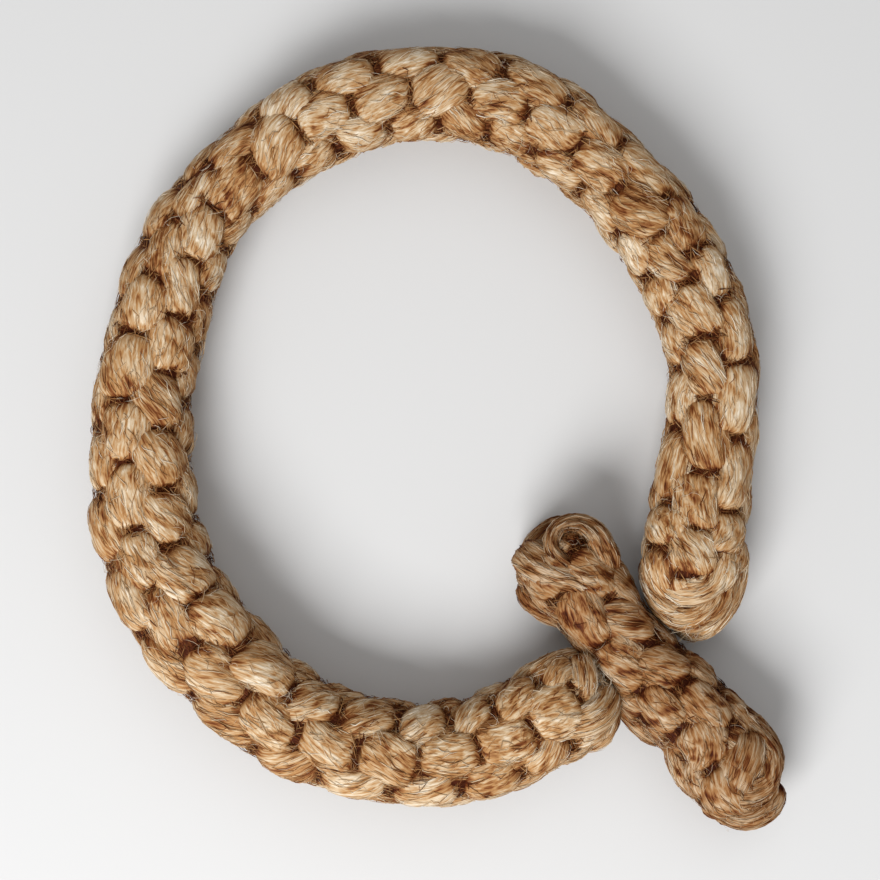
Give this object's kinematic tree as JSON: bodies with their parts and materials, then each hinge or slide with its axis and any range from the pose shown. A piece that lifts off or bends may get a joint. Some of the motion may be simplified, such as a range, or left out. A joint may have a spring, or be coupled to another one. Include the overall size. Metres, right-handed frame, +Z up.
{
  "type": "plaited jute rope ring with a short crossing length",
  "caption": "Thick plaited jute rope lying in an open oval ring, with a short frayed length of the same rope laid across the gap.",
  "frame": {"origin": "on the surface the rope lies on, under the middle of the whole shape seen from above", "axes": "+Z up, +Y along the oval's long way towards its closed side, +X towards the side with the crossing length"},
  "size_m": [0.0978, 0.1102, 0.0155],
  "materials": {
    "jute": "matte, hairy plant fibre",
    "worn_jute": "matte, hairy plant fibre, a little darker"
  },
  "bodies": {
    "root": {"ring_braid": "jute", "tail_braid": "worn_jute"}
  },
  "joints": []
}
